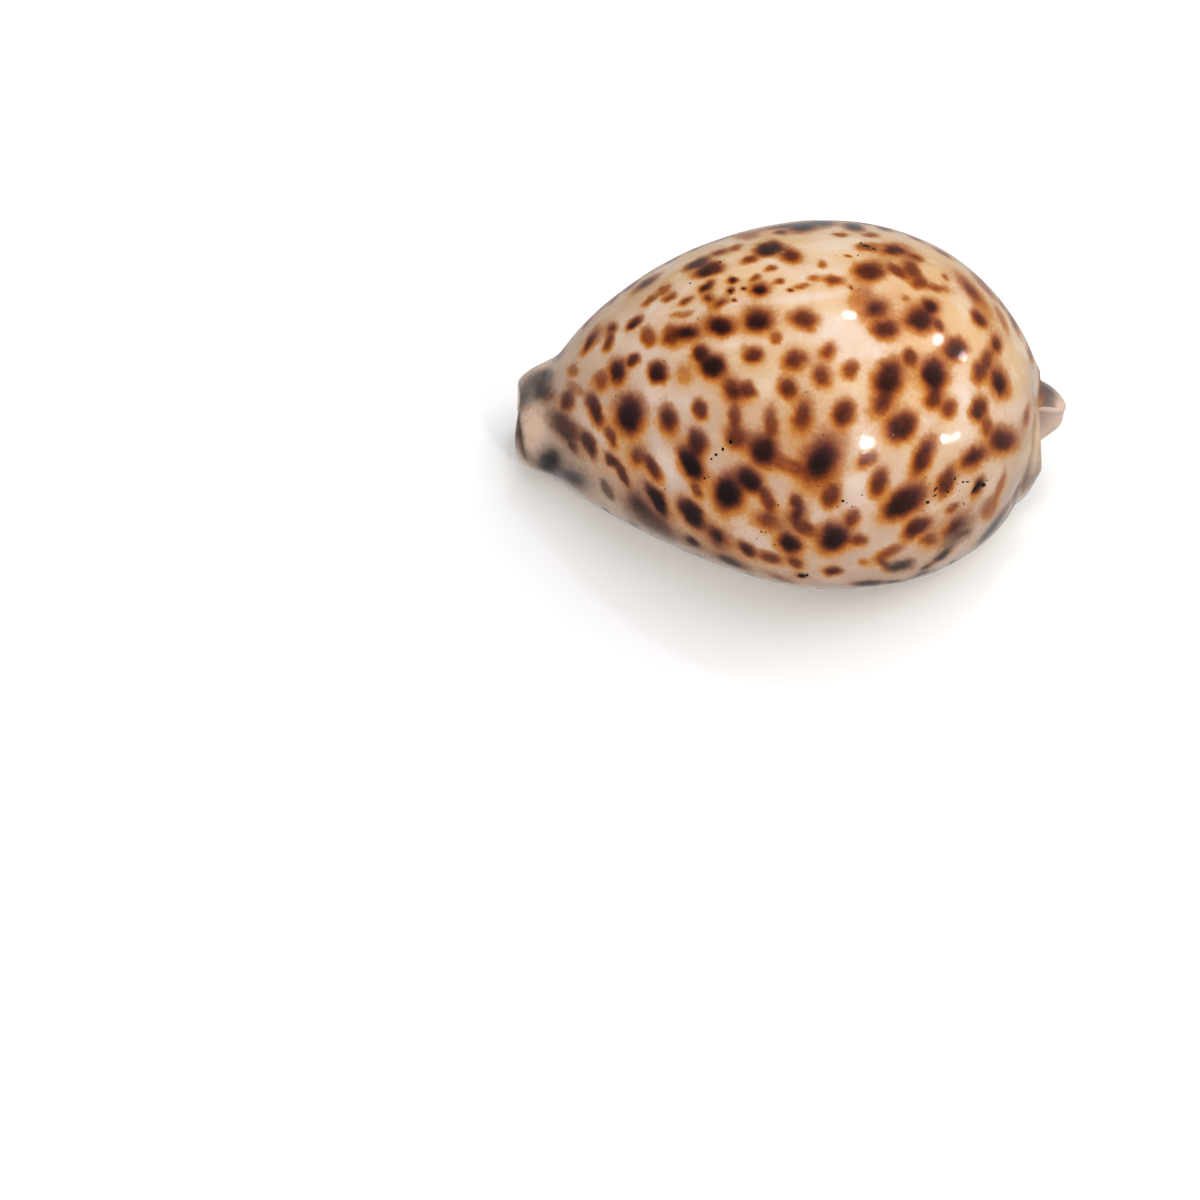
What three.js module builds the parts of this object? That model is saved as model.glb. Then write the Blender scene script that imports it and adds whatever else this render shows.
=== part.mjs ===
// Tiger cowrie shell: one closed, hollow solid with a long toothed slit in the base.
// Millimetres, +Z up. The shell rests on its flat base at z = 0.
// -X is the anterior end (narrow, with the open front canal), +X the posterior end (rear canal
// between two lobes), +Y the outer-lip (labral) side, -Y the columellar side.
// The origin is the middle of the bounding box, on the surface that the shell rests on.
import * as THREE from "three";

// ------------------------------------------------------------------ driving dimensions
const LENGTH = 80;             // front rim to rear lobe
const W_NEAR = 30.82;          // columellar side: widest half width, from the aperture line
const W_FAR = 24.34;           // labral side
const DOME = 25.6;             // dorsum above the shell's axis
const DOME_N = 1.995;          // superellipse power of the section above the axis
const BASE_N = 2.43;           // and below it, flatter
const RIM_ROUND = 2.8;         // rounding of the canal rims
const LIP_ROUND = 3.2;         // rounding of the lips on the outside
const LIP_ROUND_IN = 2.0;      // and on the inside
const WALL_TOP = 2.8;          // wall at the top of the dorsum
const WALL_SIDE = 2.0;         // extra wall at the margins
const WALL_BASE = 3.6;         // extra wall at the lips
const WALL_END = 1.4;          // extra wall towards the two ends
const WALL_PART = 0.52;        // the wall is never more than this part of the outer radius
const Y_SHIFT = 3.34;          // aperture line to the middle of the width

// how the half widths and the height swell along the shell: c = -1 front ... +1 rear
const SWELL_NEAR = { ends: [-36.48, 35.33], e: [0.985, 0.275, -0.165, -0.104, 0.074] };
const SWELL_FAR = { ends: [-36.14, 36.91], e: [0.985, 0.223, -0.077, -0.101, 0.08] };
const SWELL_TOP = { ends: [-36.45, 37.07], e: [0.985, 0.187, -0.051, -0.058, 0.068] };

// stations along X: axis height, lowest point, middle of the aperture, half aperture at the base
const STATION = [-42, -40, -38, -35.5, -32, -28, -22, -12, 0, 12, 22, 28, 32, 35, 37.5, 42];
const AXIS_Z = [7.6, 7.8, 8.1, 8.8, 10.2, 12.0, 14.2, 16.4, 17.2, 17.0, 15.8, 14.4, 13.1, 12.0, 11.3, 10.8];
const LOW_Z = [2.6, 1.9, 1.5, 1.05, 0.45, -0.1, -0.6, -0.95, -1.05, -0.95, -0.6, -0.15, 0.4, 1.0, 1.6, 2.6];
const SLIT_Y = [1.6, 1.5, 1.3, 1.0, 0.7, 0.4, 0.1, -0.2, -0.2, 0.1, 0.1, -0.3, -1.0, -1.9, -2.5, -3.2];
const SLIT_HALF = [4.2, 4.15, 4.05, 3.9, 3.7, 3.5, 3.3, 3.15, 3.1, 3.05, 3.0, 3.0, 3.0, 3.0, 3.05, 3.1];

// the two canal snouts: half width and height above the axis
const FRONT = { x: [-42, -40, -38, -36, -33, -29, -24], w: [6.4, 7.1, 7.8, 8.5, 9.6, 10.8, 11.4], h: [3.4, 4.2, 5.0, 5.8, 7.1, 8.4, 9.0], dy: 0.5 };
const REAR = { x: [24, 30, 33, 36, 38, 40, 42], w: [10, 9.6, 9.3, 8.7, 8.1, 7.2, 6.2], h: [9.0, 8.2, 7.4, 6.4, 5.6, 4.7, 3.8], dy: 0 };

// facets: rows along the shell and columns round it, fewer on the inside
const ROWS_OUT = 66, COLS_OUT = 40, ROWS_IN = 26, COLS_IN = 16;

// ------------------------------------------------------------------ small functions
const clamp = (v, a, b) => Math.min(b, Math.max(a, v));

// smooth curve through the stations
function spline(x, X, Y) {
  const n = X.length;
  x = clamp(x, X[0], X[n - 1]);
  let i = 0;
  while (i < n - 2 && x >= X[i + 1]) i++;
  const slope = (k) => (Y[k + 1] - Y[k]) / (X[k + 1] - X[k]);
  const tangent = (k) => {
    if (k === 0) return slope(0);
    if (k === n - 1) return slope(n - 2);
    const h0 = X[k] - X[k - 1], h1 = X[k + 1] - X[k];
    return (slope(k - 1) * h1 + slope(k) * h0) / (h0 + h1);
  };
  const h = X[i + 1] - X[i], t = (x - X[i]) / h, t2 = t * t, t3 = t2 * t;
  return (2 * t3 - 3 * t2 + 1) * Y[i] + (t3 - 2 * t2 + t) * h * tangent(i)
    + (3 * t2 - 2 * t3) * Y[i + 1] + (t3 - t2) * h * tangent(i + 1);
}
const smoothMax = (a, b, k) => { const t = clamp(0.5 + 0.5 * (a - b) / k, 0, 1); return b * (1 - t) + a * t + k * t * (1 - t); };
const smoothStep = (x, a, b) => { const t = clamp((x - a) / (b - a), 0, 1); return t * t * (3 - 2 * t); };
function swell(x, s) {
  const c = (2 * x - s.ends[0] - s.ends[1]) / (s.ends[1] - s.ends[0]);
  const r = Math.sqrt(Math.max(0, 1 - c * c));
  return r * (s.e[0] + c * (s.e[1] + c * (s.e[2] + c * (s.e[3] + c * s.e[4]))));
}
// distance from a point dy beside the middle of |y/a|^n + |z/b|^n = 1 out to that curve
function raySuper(ct, st, dy, a, b, n) {
  let R = 1.5 * (a + b) + Math.abs(dy);
  for (let k = 0; k < 16; k++) {
    const u = (R * ct + dy) / a, w = (R * st) / b;
    const F = Math.abs(u) ** n + Math.abs(w) ** n - 1;
    const dF = (n * Math.abs(u) ** (n - 1) * Math.sign(u) * ct) / a + (n * Math.abs(w) ** (n - 1) * Math.sign(w) * st) / b;
    R = Math.max(R - F / Math.max(dF, 1e-6), 1e-3);
  }
  return R;
}

// ------------------------------------------------------------------ the shell's surfaces
// outer radius about the axis at station x, in direction th (0 = labral side, 90 deg = up)
function outerRadius(x, th) {
  const ct = Math.cos(th), st = Math.sin(th), up = st >= 0;
  const low = spline(x, STATION, AXIS_Z) - spline(x, STATION, LOW_Z);
  const aN = W_NEAR * swell(x, SWELL_NEAR), aF = W_FAR * swell(x, SWELL_FAR), b = DOME * swell(x, SWELL_TOP);
  const a = 0.5 * (aN + aF), dy = 0.5 * (aN - aF);
  let body = 0.3;
  if (a > 0.5 && b > 0.5 && Math.abs(dy) < 0.9 * a) {
    body = up ? raySuper(ct, st, dy, a, b, DOME_N)
      : raySuper(ct, st, dy, a, low * Math.sqrt(clamp((a / 28) * 2.4, 0, 1)), BASE_N);
  }
  const snout = (s, side) => {
    const w = spline(x, s.x, s.w), h = spline(x, s.x, s.h);
    return (up ? raySuper(ct, st, s.dy, w, h, 2.1) : raySuper(ct, st, s.dy, w, low, 2.5)) * smoothStep(side * x, 20, 31);
  };
  return smoothMax(smoothMax(body, snout(FRONT, -1), 1.6), snout(REAR, 1), 1.2);
}
// the rims of the two canals, which lean back over the top and stand out as a lobe on the labral side
function rims(th) {
  const ct = Math.cos(th), st = Math.sin(th), up = Math.max(0, st), near = 0.5 - 0.5 * ct;
  const lobe = st < 0 ? smoothStep(ct, 0.4, 0.98) : smoothStep(ct, 0.05, 0.9);
  return [
    -LENGTH / 2 + 0.7 * up ** 1.5 + 0.9 * near * near,
    LENGTH / 2 - 3.3 + 3.3 * lobe - 1.0 * up * (1 - lobe) - 1.6 * Math.max(0, -st) * near,
  ];
}
// the wall is thin over the dorsum, thicker at the margins and thickest along the two lips
function innerRadius(x, th, R) {
  const ct = Math.cos(th), st = Math.sin(th), down = Math.max(0, -st);
  const end = smoothStep(Math.abs(x), 24, 35);
  const wall = WALL_TOP + WALL_SIDE * ct * ct + WALL_BASE * down * down + WALL_END * end;
  return R - Math.min(wall, WALL_PART * R);
}

// directions of the two lip edges at station x, seen from the axis
function lipAngles(x) {
  const z = spline(x, STATION, LOW_Z) - spline(x, STATION, AXIS_Z);
  const y = spline(x, STATION, SLIT_Y), g = spline(x, STATION, SLIT_HALF);
  return [Math.atan2(z, y + g), Math.atan2(z, y - g) + 2 * Math.PI];
}
const place = (x, th, R) => [x, R * Math.cos(th), spline(x, STATION, AXIS_Z) + R * Math.sin(th)];

// a point of the outer or the inner skin: s runs front to rear, v from the labral to the columellar lip.
// Both skins curl into the middle of the wall at the lips and the rims, where they meet.
function skin(s, v, outside) {
  // the lip directions depend on x, and the rim's x on the direction: two passes settle them
  let x = -LENGTH / 2 + LENGTH * s, th = 0;
  for (let k = 0; k < 6; k++) {
    const [t0, t1] = lipAngles(x);
    th = t0 + (t1 - t0) * v;
    const [xa, xp] = rims(th);
    x = xa + (xp - xa) * s;
  }
  const [xa, xp] = rims(th);
  const Ro = outerRadius(x, th), Ri = innerRadius(x, th, Ro), Rm = 0.5 * (Ro + Ri);
  const edge = (vv) => {
    const [t0, t1] = lipAngles(x);
    const t = vv < 0.5 ? t0 : t1;
    const p = place(x, t, outerRadius(x, t)), q = place(x, th, Ro);
    return Math.hypot(p[1] - q[1], p[2] - q[2]);
  };
  const dRim = Math.min(x - xa, xp - x), dLip = edge(v);
  const round = (d, r) => { const t = 1 - clamp(d / r, 0, 1); return Math.sqrt(Math.max(0, 1 - t * t)); };
  const R = outside
    ? Rm + (Ro - Rm) * round(dRim, RIM_ROUND) * round(dLip, LIP_ROUND)
    : Rm + (Ri - Rm) * round(dRim, RIM_ROUND) * round(dLip, LIP_ROUND_IN);
  const p = place(x, th, R);
  return [p[0], p[1] + Y_SHIFT, Math.max(0, p[2])];
}

// ------------------------------------------------------------------ facets
// parameters bunched towards both ends, so that the rounded rims and lips get their own rows
function spaced(n, near) {
  const k = near.length, out = near.slice();
  const a = near[k - 1], m = n - 2 * (k - 1);
  for (let i = 1; i < m; i++) {
    const t = i / m;
    out.push(a + (1 - 2 * a) * (t - 0.055 * Math.sin(2 * Math.PI * t)));
  }
  for (let i = k - 1; i >= 0; i--) out.push(1 - near[i]);
  return out;
}
const sOut = spaced(ROWS_OUT, [0, 0.0018, 0.0075, 0.018, 0.031]);
const vOut = spaced(COLS_OUT, [0, 0.0035, 0.012, 0.026, 0.047]);
const sIn = spaced(ROWS_IN, [0, 0.009, 0.03, 0.07]);
const vIn = spaced(COLS_IN, [0, 0.015, 0.05]);

const points = [], faces = [];
const add = (p) => { points.push(p); return points.length - 1; };

// both skins share the points of one closed edge: along one lip, round a rim, back along the other lip
const grid = (S, V, outside) => S.map((s) => V.map((v) => add(skin(s, v, outside))));
const gOut = grid(sOut, vOut, true), gIn = grid(sIn, vIn, false);
function quads(g, flip) {
  for (let i = 0; i + 1 < g.length; i++) for (let j = 0; j + 1 < g[0].length; j++) {
    const a = g[i][j], b = g[i + 1][j], c = g[i + 1][j + 1], d = g[i][j + 1];
    if (flip) faces.push([a, b, c], [a, c, d]); else faces.push([a, c, b], [a, d, c]);
  }
}
quads(gOut, false);
quads(gIn, true);

// the edge loop of a grid, with each point's place along it
function loop(g, S, V) {
  const n = g.length - 1, m = g[0].length - 1, out = [];
  for (let i = 0; i < n; i++) out.push([g[i][0], S[i]]);
  for (let j = 0; j < m; j++) out.push([g[n][j], 1 + V[j]]);
  for (let i = n; i > 0; i--) out.push([g[i][m], 2 + (1 - S[i])]);
  for (let j = m; j > 0; j--) out.push([g[0][j], 3 + (1 - V[j])]);
  return out;
}
// the two loops lie on the same edge with different counts: the coarse loop's points are moved onto the
// fine loop's by adding them to it, so the strip between them has no width and is left out
function weld() {
  const A = loop(gOut, sOut, vOut), B = loop(gIn, sIn, vIn);
  const used = new Map();
  // each inner edge point takes the nearest outer edge point, in order round the loop
  for (const [q, t] of B) {
    let best = null, bd = Infinity;
    A.forEach(([p, u], k) => { const d = Math.min(Math.abs(u - t), 4 - Math.abs(u - t)); if (d < bd) { bd = d; best = k; } });
    used.set(q, best);
  }
  return { A, B, used };
}
const { A, B, used } = weld();
// every inner edge point becomes its outer partner
const remap = new Map();
for (const [q] of B) remap.set(q, A[used.get(q)][0]);
for (const f of faces) for (let k = 0; k < 3; k++) if (remap.has(f[k])) f[k] = remap.get(f[k]);
// between two partners the outer loop has more points: a fan from the inner skin's edge closes each gap
for (let k = 0; k < B.length; k++) {
  const a = used.get(B[k][0]), b = used.get(B[(k + 1) % B.length][0]);
  const n = (b - a + A.length) % A.length;
  for (let i = 1; i < n; i++) {
    // the straight inner edge a-b against the outer points between: thin fan triangles
    const p = A[a][0], q = A[(a + i) % A.length][0], r = A[(a + i + 1) % A.length][0];
    faces.push([p, q, r]);
  }
}

// ------------------------------------------------------------------ mesh
const used2 = new Map(), pos = [], index = [];
for (const f of faces) {
  const [a, b, c] = f;
  if (a === b || b === c || a === c) continue;
  for (const i of f) {
    if (!used2.has(i)) { used2.set(i, pos.length / 3); pos.push(...points[i]); }
    index.push(used2.get(i));
  }
}
const geometry = new THREE.BufferGeometry();
geometry.setAttribute("position", new THREE.Float32BufferAttribute(pos, 3));
geometry.setIndex(index);
geometry.computeVertexNormals();

const shell = new THREE.Mesh(geometry, new THREE.MeshStandardMaterial({ color: 0xd9b48a, roughness: 0.22, metalness: 0 }));
shell.name = "cowrie_shell";

const group = new THREE.Group();
group.add(shell);
export default group;
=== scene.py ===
import math

import bpy
import numpy as np
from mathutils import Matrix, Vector
from mathutils.bvhtree import BVHTree


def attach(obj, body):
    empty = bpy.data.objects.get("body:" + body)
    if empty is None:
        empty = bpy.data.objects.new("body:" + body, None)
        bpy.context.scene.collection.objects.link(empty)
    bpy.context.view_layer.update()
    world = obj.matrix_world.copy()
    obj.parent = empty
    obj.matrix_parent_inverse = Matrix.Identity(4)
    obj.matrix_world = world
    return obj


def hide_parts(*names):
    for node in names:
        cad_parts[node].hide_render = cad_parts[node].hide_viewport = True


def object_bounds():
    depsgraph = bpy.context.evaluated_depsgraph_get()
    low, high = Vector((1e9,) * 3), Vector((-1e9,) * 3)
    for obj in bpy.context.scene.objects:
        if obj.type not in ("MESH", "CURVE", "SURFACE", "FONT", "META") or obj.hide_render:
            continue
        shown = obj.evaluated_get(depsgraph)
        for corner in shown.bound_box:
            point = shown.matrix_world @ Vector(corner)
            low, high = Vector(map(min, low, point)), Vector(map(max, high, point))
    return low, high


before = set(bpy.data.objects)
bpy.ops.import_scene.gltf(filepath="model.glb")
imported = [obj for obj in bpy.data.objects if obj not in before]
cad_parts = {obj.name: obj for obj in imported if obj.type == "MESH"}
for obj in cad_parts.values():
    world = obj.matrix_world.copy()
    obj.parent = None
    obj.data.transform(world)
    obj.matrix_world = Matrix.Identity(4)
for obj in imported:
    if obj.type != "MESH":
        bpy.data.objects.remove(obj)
cad_box = [[float(c) for c in p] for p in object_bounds()]
MM = 0.001

# ---------------------------------------------------------------- camera (photo framing, 1200 x 1200)
SHIFT_Y = 3.34                      # aperture line to the middle of the width, mm
FPX = 1200 * 80.0 / 36.0            # 80 mm lens on 36 mm, in pixels
CENTRE = np.array([0.0, SHIFT_Y, 17.0])
ELEV, DIST = math.radians(47.0), 383.9
AIM_PX = (789.1, 389.3)             # where CENTRE lands in the picture


def view_axes(c, t):
    f = (t - c) / np.linalg.norm(t - c)
    r = np.cross(f, [0, 0, 1.0])
    r /= np.linalg.norm(r)
    return r, np.cross(r, f), f


CAM = CENTRE + DIST * np.array([0.0, -math.cos(ELEV), math.sin(ELEV)])
TARGET = CENTRE.copy()
for _ in range(40):
    r_, u_, f_ = view_axes(CAM, TARGET)
    d_ = CENTRE - CAM
    px_, py_ = 600 + FPX * (d_ @ r_) / (d_ @ f_), 600 - FPX * (d_ @ u_) / (d_ @ f_)
    TARGET = TARGET - ((AIM_PX[0] - px_) * r_ - (AIM_PX[1] - py_) * u_) * DIST / FPX * 0.9
RIGHT, UP, FWD = view_axes(CAM, TARGET)


def to_px(P):
    d = P - CAM
    z = d @ FWD
    return np.stack([600 + FPX * (d @ RIGHT) / z, 600 - FPX * (d @ UP) / z], -1)


def ray(x, y):
    v = FWD + RIGHT * (x - 600) / FPX - UP * (y - 600) / FPX
    return v / np.linalg.norm(v)


cam_data = bpy.data.cameras.new("camera")
cam_data.lens, cam_data.sensor_width = 80.0, 36.0
cam_data.clip_start, cam_data.clip_end = 0.01, 20.0
cam = bpy.data.objects.new("camera", cam_data)
bpy.context.collection.objects.link(cam)
cam.location = Vector(CAM * MM)
cam.rotation_euler = Vector(TARGET * MM - CAM * MM).to_track_quat("-Z", "Y").to_euler()
bpy.context.scene.camera = cam

# ---------------------------------------------------------------- shell shape, millimetres
LENGTH, W_NEAR, W_FAR, DOME = 80.0, 30.82, 24.34, 25.6
DOME_N, BASE_N = 1.995, 2.43
RIM_ROUND, LIP_ROUND, LIP_ROUND_IN = 2.8, 3.2, 2.0
SWELL_NEAR = ((-36.48, 35.33), (0.985, 0.275, -0.165, -0.104, 0.074))
SWELL_FAR = ((-36.14, 36.91), (0.985, 0.223, -0.077, -0.101, 0.08))
SWELL_TOP = ((-36.45, 37.07), (0.985, 0.187, -0.051, -0.058, 0.068))
STATION = [-42, -40, -38, -35.5, -32, -28, -22, -12, 0, 12, 22, 28, 32, 35, 37.5, 42]
AXIS_Z = [7.6, 7.8, 8.1, 8.8, 10.2, 12.0, 14.2, 16.4, 17.2, 17.0, 15.8, 14.4, 13.1, 12.0, 11.3, 10.8]
LOW_Z = [2.6, 1.9, 1.5, 1.05, 0.45, -0.1, -0.6, -0.95, -1.05, -0.95, -0.6, -0.15, 0.4, 1.0, 1.6, 2.6]
SLIT_Y = [1.6, 1.5, 1.3, 1.0, 0.7, 0.4, 0.1, -0.2, -0.2, 0.1, 0.1, -0.3, -1.0, -1.9, -2.5, -3.2]
SLIT_HALF = [4.2, 4.15, 4.05, 3.9, 3.7, 3.5, 3.3, 3.15, 3.1, 3.05, 3.0, 3.0, 3.0, 3.0, 3.05, 3.1]
FRONT = ([-42, -40, -38, -36, -33, -29, -24], [6.4, 7.1, 7.8, 8.5, 9.6, 10.8, 11.4], [3.4, 4.2, 5.0, 5.8, 7.1, 8.4, 9.0], 0.5)
REAR = ([24, 30, 33, 36, 38, 40, 42], [10, 9.6, 9.3, 8.7, 8.1, 7.2, 6.2], [9.0, 8.2, 7.4, 6.4, 5.6, 4.7, 3.8], 0.0)


def spline(x, X, Y):
    X, Y = np.asarray(X, float), np.asarray(Y, float)
    x = np.clip(x, X[0], X[-1])
    h, d = np.diff(X), np.diff(Y) / np.diff(X)
    m = np.empty(len(X))
    m[0], m[-1] = d[0], d[-1]
    m[1:-1] = (d[:-1] * h[1:] + d[1:] * h[:-1]) / (h[:-1] + h[1:])
    i = np.clip(np.searchsorted(X, x, side="right") - 1, 0, len(X) - 2)
    t = (x - X[i]) / h[i]
    return (2*t**3 - 3*t**2 + 1)*Y[i] + (t**3 - 2*t**2 + t)*h[i]*m[i] + (3*t**2 - 2*t**3)*Y[i+1] + (t**3 - t**2)*h[i]*m[i+1]


def smooth_max(a, b, k):
    t = np.clip(0.5 + 0.5 * (a - b) / k, 0, 1)
    return b * (1 - t) + a * t + k * t * (1 - t)


def step(x, a, b):
    t = np.clip((x - a) / (b - a), 0, 1)
    return t * t * (3 - 2 * t)


def swell(x, s):
    (a, b), e = s
    c = (2 * x - a - b) / (b - a)
    r = np.sqrt(np.clip(1 - c * c, 0, None))
    return r * (e[0] + c * (e[1] + c * (e[2] + c * (e[3] + c * e[4]))))


def ray_super(ct, st, dy, a, b, n):
    R = 1.5 * (a + b) + np.abs(dy)
    for _ in range(16):
        u, w = (R * ct + dy) / a, R * st / b
        F = np.abs(u)**n + np.abs(w)**n - 1
        dF = n*np.abs(u)**(n-1)*np.sign(u)*ct/a + n*np.abs(w)**(n-1)*np.sign(w)*st/b
        R = np.maximum(R - F / np.maximum(dF, 1e-6), 1e-3)
    return R


def outer_radius(x, th):
    ct, st = np.cos(th), np.sin(th)
    low = spline(x, STATION, AXIS_Z) - spline(x, STATION, LOW_Z)
    aN, aF, b = W_NEAR * swell(x, SWELL_NEAR), W_FAR * swell(x, SWELL_FAR), DOME * swell(x, SWELL_TOP)
    a, dy = 0.5 * (aN + aF), 0.5 * (aN - aF)
    ok = (a > 0.5) & (b > 0.5) & (np.abs(dy) < 0.9 * a)
    a1, dy1, b1 = np.where(ok, a, 1), np.where(ok, dy, 0), np.where(ok, b, 1)
    lowb = low * np.sqrt(np.clip(a1 / 28 * 2.4, 0, 1))
    body = np.where(st >= 0, ray_super(ct, st, dy1, a1, b1, DOME_N), ray_super(ct, st, dy1, a1, lowb, BASE_N))
    body = np.where(ok, body, 0.3)

    def snout(s, side):
        w, h = spline(x, s[0], s[1]), spline(x, s[0], s[2])
        r = np.where(st >= 0, ray_super(ct, st, s[3], w, h, 2.1), ray_super(ct, st, s[3], w, low, 2.5))
        return r * step(side * x, 20, 31)
    return smooth_max(smooth_max(body, snout(FRONT, -1), 1.6), snout(REAR, 1), 1.2)


def rims(th):
    ct, st = np.cos(th), np.sin(th)
    up, near, lobe = np.clip(st, 0, 1), 0.5 - 0.5 * ct, np.where(st < 0, step(ct, 0.4, 0.98), step(ct, 0.05, 0.9))
    return (-LENGTH/2 + 0.7*up**1.5 + 0.9*near**2,
            LENGTH/2 - 3.3 + 3.3*lobe - 1.0*up*(1 - lobe) - 1.6*np.clip(-st, 0, 1)*near)


def inner_radius(x, th, R):
    ct, down = np.cos(th), np.clip(-np.sin(th), 0, 1)
    wall = 2.8 + 2.0*ct*ct + 3.6*down*down + 1.4*step(np.abs(x), 24, 35)
    return R - np.minimum(wall, 0.52 * R)


def lip_angles(x):
    z = spline(x, STATION, LOW_Z) - spline(x, STATION, AXIS_Z)
    y, g = spline(x, STATION, SLIT_Y), spline(x, STATION, SLIT_HALF)
    return np.arctan2(z, y + g), np.arctan2(z, y - g) + 2 * math.pi


def place(x, th, R):
    return np.stack([x, R * np.cos(th), spline(x, STATION, AXIS_Z) + R * np.sin(th)], -1)


def skin(S, V, outside):
    """Grid of points; also x, direction, distance to the lip edge and to the rim."""
    s, v = np.meshgrid(S, V, indexing="ij")
    x = -LENGTH / 2 + LENGTH * s
    for _ in range(6):
        t0, t1 = lip_angles(x)
        th = t0 + (t1 - t0) * v
        xa, xp = rims(th)
        x = xa + (xp - xa) * s
    Ro = outer_radius(x, th)
    Ri = inner_radius(x, th, Ro)
    Rm = 0.5 * (Ro + Ri)
    t0, t1 = lip_angles(x)
    te = np.where(v < 0.5, t0, t1)
    p, q = place(x, te, outer_radius(x, te)), place(x, th, Ro)
    d_lip = np.hypot(p[..., 1] - q[..., 1], p[..., 2] - q[..., 2])
    d_rim = np.minimum(x - xa, xp - x)

    def rnd(d, r):
        t = 1 - np.clip(d / r, 0, 1)
        return np.sqrt(np.clip(1 - t * t, 0, None))
    if outside:
        R = Rm + (Ro - Rm) * rnd(d_rim, RIM_ROUND) * rnd(d_lip, LIP_ROUND)
    else:
        R = Rm + (Ri - Rm) * rnd(d_rim, RIM_ROUND) * rnd(d_lip, LIP_ROUND_IN)
    P = place(x, th, R)
    P[..., 1] += SHIFT_Y
    return P, d_lip, d_rim, th, v


def spread(n_end, width, n_mid):
    """0..1, bunched in the rounded edges: n_end steps within width at both ends."""
    a = width * (1 - np.cos(np.linspace(0, math.pi / 2, n_end + 1)))
    m = np.linspace(width, 1 - width, n_mid + 1)[1:-1]
    return np.concatenate([a, m, 1 - a[::-1]])


S = spread(12, 0.030, 222)
V = spread(14, 0.034, 284)
P_out, lip_out, rim_out, th_out, v_out = skin(S, V, True)
K = 4
V_in = V[::K]
P_in, lip_in, rim_in, th_in, v_in = skin(S, V_in, False)
n, m = P_out.shape[:2]
mi = P_in.shape[1]
id_out = np.arange(n * m).reshape(n, m)
id_in = np.full((n, mi), -1)
id_in[1:-1, 1:-1] = n * m + np.arange((n - 2) * (mi - 2)).reshape(n - 2, mi - 2)
id_in[0, :], id_in[-1, :] = id_out[0, ::K], id_out[-1, ::K]
id_in[:, 0], id_in[:, -1] = id_out[:, 0], id_out[:, -1]
verts = np.vstack([P_out.reshape(-1, 3), P_in[1:-1, 1:-1].reshape(-1, 3)])
outer_count = n * m
d_lip = np.concatenate([lip_out.ravel(), -lip_in[1:-1, 1:-1].ravel()])      # below zero on the inside
d_rim = np.concatenate([rim_out.ravel(), rim_in[1:-1, 1:-1].ravel()])
side = np.concatenate([v_out.ravel(), v_in[1:-1, 1:-1].ravel()])            # 0 labral ... 1 columellar
theta = np.concatenate([th_out.ravel(), th_in[1:-1, 1:-1].ravel()])


def quads(g, flip):
    a, b, c, d = g[:-1, :-1].ravel(), g[1:, :-1].ravel(), g[1:, 1:].ravel(), g[:-1, 1:].ravel()
    return np.stack([a, b, c, d] if flip else [a, d, c, b], -1)


faces = quads(id_out, False).tolist() + quads(id_in[1:-1], True).tolist()
# the rims: K outer columns meet each inner one in a small fan
for j in range(mi - 1):
    a, b, c, d = (int(k) for k in (id_in[0, j], id_in[1, j], id_in[1, j + 1], id_in[0, j + 1]))
    r = [int(id_out[0, K * j + k]) for k in range(1, K)]
    faces += [[c, d, r[2]], [c, r[2], r[1]], [b, c, r[1]], [b, r[1], r[0]], [b, r[0], a]]
    a, b, c, d = (int(k) for k in (id_in[-2, j], id_in[-1, j], id_in[-1, j + 1], id_in[-2, j + 1]))
    r = [int(id_out[-1, K * j + k]) for k in range(1, K)]
    faces += [[a, b, r[0]], [a, r[0], r[1]], [a, r[1], d], [d, r[1], r[2]], [d, r[2], c]]


def normals(P):
    N = np.zeros_like(P)
    q = np.array([f if len(f) == 4 else f + [f[2]] for f in faces])
    a, b, c, d = (P[q[:, k]] for k in range(4))
    fn = np.cross(c - a, d - b)
    for k in range(4):
        np.add.at(N, q[:, k], fn)
    return N / np.maximum(np.linalg.norm(N, axis=1, keepdims=True), 1e-12)


N = normals(verts)
if ((verts[:outer_count] - CENTRE) * N[:outer_count]).sum(1).mean() < 0:
    raise RuntimeError("faces point inwards")

# teeth along both lips: ridges across the lip, cut back between, fading out onto the base
rs = np.random.RandomState(11)


def wobble(x, seed, n_w=5, scale=9.0):
    r = np.random.RandomState(seed)
    return sum(np.sin(x * r.uniform(0.4, 1.6) * 6.28 / scale + r.uniform(0, 6.28)) for _ in range(n_w)) / n_w


x_v = verts[:, 0]
lab = side < 0.5
phase = np.where(lab, 0.0, 1.3) + 0.35 * wobble(x_v, 3)
pitch = np.where(lab, 2.75, 2.6)
ridge = (0.5 + 0.5 * np.cos(2 * math.pi * (x_v / pitch) + phase))**1.4
reach = np.where(lab, 4.6, 3.4) + 0.7 * wobble(x_v, 5, scale=5.0)
along = step(x_v, -35.5, -31) * (1 - step(x_v, 30.5, 34.5))
w_out = np.where(d_lip >= 0, 1 - step(d_lip, 0.45 * reach, reach), 1 - step(-d_lip, 0.8, 3.2))
w_teeth = w_out * along
strength = np.where(lab, 1.0, 0.62 + 0.38 * step(np.abs(x_v), 6, 22))
teeth = w_teeth * strength * (0.36 * ridge * (1 - step(d_lip, 0.8, 2.6)) - 0.62 * (1 - ridge))
verts += N * teeth[:, None]

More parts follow.
